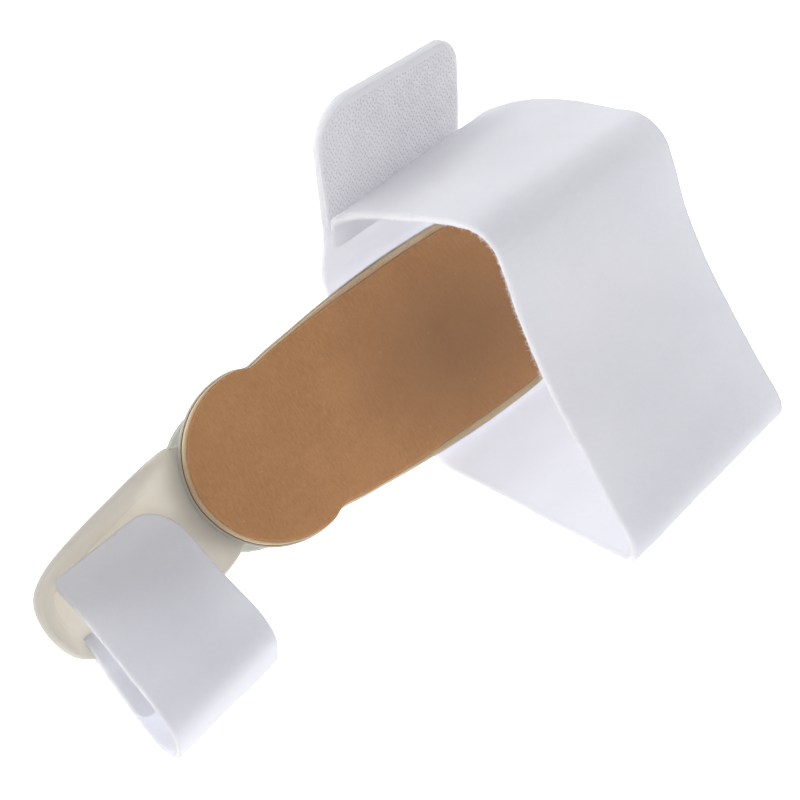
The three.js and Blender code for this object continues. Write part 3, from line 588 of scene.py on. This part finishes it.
def lap_point(curve, row, clear, x):
    """A point of the lapped end, held over the tab's curve at a place counted in rows."""
    share = row * ROW_STEPS
    i = int(share)
    point = curve[i] + (curve[i + 1] - curve[i]) * (share - i)
    t = unit(curve[min(i + 3, len(curve) - 1)] - curve[max(i - 3, 0)])
    lift = LAP_LIFT + clear * GAP
    return (x, point[1] + t[2] * lift, point[2] - t[1] * lift)


def midfoot_strap():
    """The midfoot strap from its tab, under the plate, round the fold and back to the tab."""
    def side(share):
        if abs(share) <= 1:
            return share * PLATE_EDGE
        if share > 0:
            return PLATE_EDGE + (share - 1) * TAB_REACH
        return -PLATE_EDGE + (share + 1) * LOOP_REACH

    def up(share):
        return STRAP / 2 + share * (LOOP_HEIGHT - STRAP / 2)

    near = [(STRAP_NEAR, side(a), up(b)) for a, b, _, _, _ in MIDFOOT]
    far = [
        (STRAP_NEAR + TAB_WIDTH + (STRAP_WIDTH - TAB_WIDTH) * w, side(c), up(d)) for _, _, c, d, w in MIDFOOT
    ]
    tab = spline([(0, p[1], p[2]) for p in near[:TAB_ROWS]], ROW_STEPS)
    for near_row, far_row, clear in LAP:
        near.append(lap_point(tab, near_row, clear, STRAP_NEAR))
        far.append(lap_point(tab, far_row, clear, STRAP_NEAR + STRAP_WIDTH))
    return Strap(near, far)


def toe_strap():
    """The toe strap from its start in the gutter, round the fold, the bar and back under itself."""
    deck_level = HUB_TOP + GAP + STRAP / 2

    def place(x, side, up, deck):
        base = STRAP / 2 + deck * (deck_level - STRAP / 2)
        return (x, TOE_START + side * (TOE_FOLD - TOE_START), base + up * TOE_HEIGHT)

    near, far = [], []
    for a, b, c, d, deck, skew in TOE_LOOP:
        x = TOE_NEAR - skew * TOE_SKEW
        near.append(place(x, a, b, deck))
        far.append(place(x + TOE_WIDTH, c, d, deck))
    bar_outer = -SPLINT_HALF
    bar_z = HUB_BOTTOM + SPLINT / 2
    radius = bar_z - STRAP / 2
    turn_y = bar_outer + BAR_WIDTH - 0.2 * SPLINT
    level = [(bar_outer - STRAP, STRAP / 2)]
    for degrees in (0, 45, 90, 135, 180):
        angle = math.radians(degrees)
        level.append((turn_y + radius * math.sin(angle), bar_z - radius * math.cos(angle)))
    tail_y, tail_z = bar_outer - 2 * STRAP, STRAP / 2 + LAP_LIFT + GAP
    level += [(bar_outer - GAP, bar_z + radius), (tail_y, tail_z)]
    level += [(tail_y - TOE_TAIL / 2, tail_z), (tail_y - TOE_TAIL, tail_z)]
    x = TOE_NEAR - TOE_SKEW
    near += [(x, y, z) for y, z in level]
    far += [(x + TOE_WIDTH, y, z) for y, z in level]
    return Strap(near, far, 0.6)


# Fibres and hooks

def rods(name, roots, ways, bends, lengths, radius, material, body, segments=3):
    """Thin closed three-sided rods, each curved from its way towards its bend."""
    verts, faces = [], []
    for root, way, bend, length in zip(roots, ways, bends, lengths):
        side = unit(np.cross(way, bend) + 1e-6)
        other = unit(np.cross(side, way))
        base = len(verts)
        for s in range(segments + 1):
            t = s / segments
            centre = root + way * length * t + bend * length * 0.6 * t * t
            r = radius * (1 - 0.6 * t)
            for k in range(3):
                angle = 2 * math.pi * k / 3
                verts.append(centre + (side * math.cos(angle) + other * math.sin(angle)) * r)
        for s in range(segments):
            a = base + s * 3
            for k in range(3):
                j = (k + 1) % 3
                faces.append((a + k, a + j, a + 3 + j, a + 3 + k))
        faces.append((base + 2, base + 1, base))
        last = base + segments * 3
        faces.append((last, last + 1, last + 2))
    return make(name, verts, faces, material, body, sharp=180)


def edge_fuzz(name, strap, start, end, count, seed, body, length=(0.3, 0.85), radius=0.035):
    """Short loose fibres along the near edge of a strap."""
    rng = np.random.default_rng(seed)
    stops = rng.uniform(start, end, count)
    near, far, across, normal, far_normal = strap.sample(stops)
    out = -across
    along = unit(np.cross(out, normal))
    roots = near - out * 0.2 + normal * rng.uniform(-0.9, 0.9, (count, 1))
    ways = unit(out + normal * rng.normal(0, 0.8, (count, 1)) + along * rng.normal(0, 0.9, (count, 1)))
    bends = unit(along * rng.normal(0, 1, (count, 1)) + normal * rng.normal(0, 0.6, (count, 1)))
    lengths = rng.uniform(length[0], length[1], count)
    return rods(name, roots, ways, bends, lengths, radius, WHITE_FIBRE, body)


def hook_rows(name, strap, start, end, offset, inset, corners, flip, body):
    """Rows of small bent hooks that stand on a tape."""
    verts, faces = [], []
    rng = np.random.default_rng(11)
    path = [(0, 0), (0.1, 0.2), (0.3, 0.32), (0.52, 0.24)]
    rows = np.arange(start + 2.4, end - 0.6, HOOK_PITCH)
    spacing = HOOK_PITCH * 0.72
    near, far, across, near_normal, far_normal = strap.sample(rows)
    tangents = unit(np.cross(across, near_normal))
    for i, stop in enumerate(rows):
        draw0 = max(arc_inset(stop - start, corners[0]), arc_inset(end - stop, corners[2]))
        draw1 = max(arc_inset(stop - start, corners[1]), arc_inset(end - stop, corners[3]))
        width = np.linalg.norm(far[i] - near[i])
        places = np.arange(inset + draw0 + 1.0, width - inset - draw1 - 1.0, spacing)
        places = places + (0.5 if i % 2 else 0) * spacing
        for j, place in enumerate(places):
            share = place / width
            normal = unit(near_normal[i] * (1 - share) + far_normal[i] * share) * flip
            root = near[i] + across[i] * place + normal * offset
            lean = tangents[i] * (1 if (i + j) % 2 else -1)
            lean = unit(lean + across[i] * rng.normal(0, 0.15))
            side = unit(np.cross(lean, normal))
            base = len(verts)
            for k, (a, b) in enumerate(path):
                centre = root + lean * a + normal * (b - 0.03)
                r = 0.1 if k < 3 else 0.07
                dx, dy = (path[min(k + 1, 3)][n] - path[max(k - 1, 0)][n] for n in (0, 1))
                cross = unit(normal * dx - lean * dy)
                for corner in range(3):
                    angle = 2 * math.pi * corner / 3
                    verts.append(centre + side * math.cos(angle) * r + cross * math.sin(angle) * r)
            for k in range(3):
                a = base + k * 3
                for q in range(3):
                    p = (q + 1) % 3
                    faces.append((a + q, a + p, a + 3 + p, a + 3 + q))
            faces.append((base + 2, base + 1, base))
            faces.append((base + 9, base + 10, base + 11))
    return make(name, verts, faces, HOOK_LOOK, body, sharp=180)


# Toe splint

def splint_outline():
    """The splint's whole outline with the rim's rise as z: the gutter's curve and the arc of the hub."""
    toe = spline([(LOBE_X - a * SPLINT_REACH, s * SPLINT_HALF, r * RIM_RISE) for a, s, r in GUTTER], 9)
    toe[:, 2] = np.maximum(toe[:, 2], 0)
    start = math.atan2(toe[-1][1], toe[-1][0])
    end = math.atan2(toe[0][1], toe[0][0])
    arc = [start + (end - start) * i / 60 for i in range(1, 60)]
    hub = np.array([(HUB_RADIUS * math.cos(a), HUB_RADIUS * math.sin(a), 0) for a in arc])
    outline = np.vstack([toe, hub])
    for _ in range(6):
        outline = (np.roll(outline, 1, 0) + 2 * outline + np.roll(outline, -1, 0)) / 4
    return outline


def splint_layers(outline):
    """Rings of points over the splint's skin, from under its floor, round the rim, to its upper side."""
    profile = spline(WALL, 3)
    spine_end = LOBE_X - SPLINT_REACH + SPLINT_HALF * 0.75
    spine = np.stack([np.clip(outline[:, 0], spine_end, 0), np.zeros(len(outline))], axis=1)
    inward = unit(spine - outline[:, :2])
    outer = []
    for step, up in profile:
        xy = outline[:, :2] + inward * step * RIM_WIDTH
        outer.append(np.column_stack([xy, HUB_BOTTOM + outline[:, 2] * up]))
    outer = np.array(outer)
    ring = np.roll(outer, -1, 1) - np.roll(outer, 1, 1)
    inner_way = np.gradient(outer, axis=0)
    inner_way[-1, :, 2] = 0
    normal = unit(np.cross(ring, inner_way))
    normal[normal[..., 2] < 0] *= -1
    inner = outer + normal * SPLINT
    inner[-1, :, 2] = HUB_TOP
    middle = (outer[0] + inner[0]) / 2
    half = (inner[0] - outer[0]) / 2
    out_way = unit(np.cross(normal[0], ring[0]))
    out_way = np.where(out_way[:, 2:3] < 0, -out_way, out_way)
    flat = outline[:, 2:3] < 0.05
    away = np.column_stack([-inward, np.zeros(len(inward))])
    out_way = unit(np.where(flat, away, out_way))
    rim = []
    for k in range(1, 6):
        angle = math.pi * k / 6
        rim.append(middle - half * math.cos(angle) + out_way * math.sin(angle) * RIM_ROUND)
    return np.array([*outer[::-1], *rim, *inner])


def toe_splint():
    """The moulded toe splint with its bore and its slot, its sharp edges softened."""
    layers = splint_layers(splint_outline())
    count = layers.shape[1]
    verts = layers.reshape(-1, 3)
    faces = tube_faces(len(layers), count)
    faces.append(tuple(range(count)))
    faces.append(tuple(reversed(range((len(layers) - 1) * count, len(layers) * count))))
    body = make("splint_shell", verts, outward(verts, faces), SPLINT_LOOK, "toe")
    cut_out(body, [slot_cutter(), bore_cutter(STUD_RADIUS + GAP)])
    bevel = body.modifiers.new("soft_edges", "BEVEL")
    bevel.width = 0.35 * MM
    bevel.segments = 2
    bevel.angle_limit = math.radians(SPLINT_SHARP)
    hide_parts("toe_splint")


def cut_out(body, cuts):
    """Takes the cutters' shapes out of a body and deletes the cutters."""
    for cut in cuts:
        modifier = body.modifiers.new("cut", "BOOLEAN")
        modifier.operation = "DIFFERENCE"
        modifier.solver = "MANIFOLD"
        modifier.object = cut
    bpy.context.view_layer.update()
    evaluated = body.evaluated_get(bpy.context.evaluated_depsgraph_get())
    cut_mesh = bpy.data.meshes.new_from_object(evaluated)
    body.modifiers.clear()
    old = body.data
    body.data = cut_mesh
    bpy.data.meshes.remove(old)
    for cut in cuts:
        bpy.data.objects.remove(cut)
    cut_mesh.materials.clear()
    cut_mesh.materials.append(SPLINT_LOOK)
    cut_mesh.polygons.foreach_set("use_smooth", [True] * len(cut_mesh.polygons))
    cut_mesh.set_sharp_from_angle(angle=math.radians(SPLINT_SHARP))


def cutter(name, outline, top=20.0):
    """A prism on the outline from the floor up, as a plain object."""
    count = len(outline)
    verts = [(x, y, 0) for x, y in outline] + [(x, y, top) for x, y in outline]
    faces = [(i, (i + 1) % count, count + (i + 1) % count, count + i) for i in range(count)]
    faces += [tuple(reversed(range(count))), tuple(range(count, 2 * count))]
    faces = outward(verts, faces)
    mesh = bpy.data.meshes.new(name)
    mesh.from_pydata((np.array(verts) * MM).tolist(), [], faces)
    obj = bpy.data.objects.new(name, mesh)
    bpy.context.scene.collection.objects.link(obj)
    return obj


def slot_cutter():
    """The slot that the toe strap goes through, with round ends."""
    middle = TOE_NEAR - TOE_SKEW + TOE_WIDTH / 2
    radius = SLOT_WIDTH / 2
    straight = TOE_WIDTH / 2 + SLOT_END_CLEARANCE - radius
    y = -SPLINT_HALF + BAR_WIDTH + radius
    outline = []
    for x, first in ((middle + straight, -math.pi / 2), (middle - straight, math.pi / 2)):
        for k in range(24):
            angle = first + math.pi * k / 23
            outline.append((x + radius * math.cos(angle), y + radius * math.sin(angle)))
    return cutter("slot_cut", outline)


def bore_cutter(radius):
    """The bore round the stud of the hinge cap."""
    angles = [2 * math.pi * k / 64 for k in range(64)]
    return cutter("bore_cut", [(radius * math.cos(a), radius * math.sin(a)) for a in angles])


# Build

toe_splint()

foam_low = PLATE + GAP
foam_high = foam_low + FOAM
make(
    "plate_sheet", *pad_layer(PLATE_OUTSET, 0, PLATE, 0.5, 0.5), PLATE_LOOK, "splint",
    ("midfoot_plate",), "plate_plastic",
)
foam = make(
    "foam_pad", *pad_layer(0, foam_low, foam_high, 0.7, 0.3, press=0.4, lumps=0.15), FOAM_LOOK, "splint",
    ("pad_foam",), "foam",
)
cover = make(
    "suede_facing",
    *pad_layer(cover_outset, foam_high + GAP, foam_high + GAP + COVER, 0.6, 0.1, press=0.4, lumps=0.15),
    SUEDE, "splint", ("pad_cover",), "suede",
)
# Painted shadow: a thin dark sheet between the plate and the foam, in place of the shade in the gap between
# them.
make(
    "gap_shadow_line", *pad_layer(0.12, PLATE + 0.02, foam_low - 0.02, 0.05, 0.05), GAP_SHADOW_LOOK, "splint", sharp=60
)

mid = midfoot_strap()
strap_piece = strap_mesh(
    "midfoot_fleece", mid, 0, mid.length, 0, STRAP, 0, TAB_CORNERS, 52, FLEECE, "splint",
    ("midfoot_strap",), "fleece", taper=9.0,
)
mid_fuzz = edge_fuzz("midfoot_fuzz", mid, 2, mid.length - 2, 5200, 5, "splint")
hook_end = float(np.interp((3 + 1 / 3) * ROW_STEPS, np.arange(len(mid.run)), mid.run))
tape = strap_mesh(
    "hook_tape_mid", mid, 0.4, hook_end, STRAP / 2 + 0.2, 0.2, 0.4, TAB_CORNERS, 30, HOOK_LOOK, "splint",
    ("midfoot_hooks",), "hook_tape", soft=0.0, edge_round=0.3,
)
hooks = hook_rows("hooks_mid", mid, 0.4, hook_end, STRAP / 2 + 0.28, 0.4, TAB_CORNERS, 1, "splint")

toe = toe_strap()
toe_piece = strap_mesh(
    "toe_fleece", toe, 0, toe.length, 0, STRAP, 0, TOE_CORNERS, 44, BRIGHTENED_TOE_FLEECE, "toe",
    ("toe_strap",), "fleece",
)
toe_fuzz = edge_fuzz("toe_fuzz", toe, 1, toe.length - 1, 2400, 8, "toe")
toe_tape = strap_mesh(
    "hook_tape_toe", toe, toe.length - 10.8, toe.length - 0.7, -(STRAP / 2 + 0.2), 0.3, 0.7,
    TOE_TAIL_CORNERS, 24, HOOK_LOOK, "toe", ("toe_hooks",), "hook_tape", soft=0.0, edge_round=0.3,
)
toe_hooks = hook_rows(
    "hooks_toe", toe, toe.length - 11.4, toe.length - 0.7, STRAP / 2 + 0.3, 0.7, TOE_TAIL_CORNERS, -1, "toe",
)

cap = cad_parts["hinge_cap"]
for cap_slot in cap.material_slots:
    cap_slot.material = HINGE_LOOK


# Floor, light and camera

FLOOR_HALF = 3.0
FLOOR_LEVEL = -0.0003
LIGHT_SIZE = 0.9
# The camera turns round the aim from straight above: its tilt, its way round and its roll, in degrees.
AIM = Vector((46.9, -8.0, 0)) * MM
DISTANCE = 0.351
TILT, TURN, ROLL = 24.0, 170.0, 35.4
# Pixels to a millimetre at the aim, in a picture 800 pixels wide.
PICTURE_SCALE = 3.83
PICTURE_WIDTH = 800
SENSOR_WIDTH = 36.0


def floor_look():
    """Pale floor that glows softly, as a ground lit from behind does."""
    look = Look("floor", Roughness=0.9, Specular_IOR_Level=0.1)
    broad = look.span(look.noise(3, 2), 0.3, 0.7)
    look.colour(look.mix(broad, tone(0.96, 0.96, 0.965), tone(0.97, 0.97, 0.97)))
    look.shader.inputs["Emission Color"].default_value = tone(1, 1, 1)
    look.shader.inputs["Emission Strength"].default_value = 1.5
    return look.material


floor_mesh = bpy.data.meshes.new("floor")
corners = [(x * FLOOR_HALF, y * FLOOR_HALF, FLOOR_LEVEL) for x, y in ((-1, -1), (1, -1), (1, 1), (-1, 1))]
floor_mesh.from_pydata(corners, [], [(0, 1, 2, 3)])
floor_mesh.materials.append(floor_look())
floor = bpy.data.objects.new("floor", floor_mesh)
bpy.context.scene.collection.objects.link(floor)

world = bpy.data.worlds.new("studio")
world.use_nodes = True
background = world.node_tree.nodes["Background"]
background.inputs["Color"].default_value = tone(1, 1, 1)
background.inputs["Strength"].default_value = 0.52
bpy.context.scene.world = world


def area_light(name, place, target, power):
    """A soft round light at a place, turned to its target."""
    data = bpy.data.lights.new(name, "AREA")
    data.shape = "DISK"
    data.size = LIGHT_SIZE
    data.energy = power
    obj = bpy.data.objects.new(name, data)
    bpy.context.scene.collection.objects.link(obj)
    obj.location = place
    obj.rotation_mode = "QUATERNION"
    obj.rotation_quaternion = (Vector(target) - Vector(place)).to_track_quat("-Z", "Y")


area_light("key", (-0.95, -0.25, 1.0), (0.0, 0, 0), 3.0)
area_light("fill", (0.2, -1.1, 0.75), (0.05, 0, 0.02), 2.2)

view = bpy.context.scene.view_settings
view.view_transform = "Standard"
view.look = "None"
view.exposure = 0.0
view.gamma = 1.0

tilt, turn, roll = (math.radians(angle) for angle in (TILT, TURN, ROLL))
back = Vector((math.sin(tilt) * math.cos(turn), math.sin(tilt) * math.sin(turn), math.cos(tilt)))
level = (Vector((1, 0, 0)) - back * back.x).normalized()
rise = back.cross(level)
right = level * math.cos(roll) - rise * math.sin(roll)
upward = level * math.sin(roll) + rise * math.cos(roll)
camera_data = bpy.data.cameras.new("camera")
camera_data.sensor_width = SENSOR_WIDTH
camera_data.lens = PICTURE_SCALE * DISTANCE / MM / PICTURE_WIDTH * SENSOR_WIDTH
camera_data.clip_start = 0.01
camera = bpy.data.objects.new("camera", camera_data)
bpy.context.scene.collection.objects.link(camera)
axes = Matrix((right, upward, back)).transposed()
camera.matrix_world = Matrix.Translation(AIM + back * DISTANCE) @ axes.to_4x4()
bpy.context.scene.camera = camera
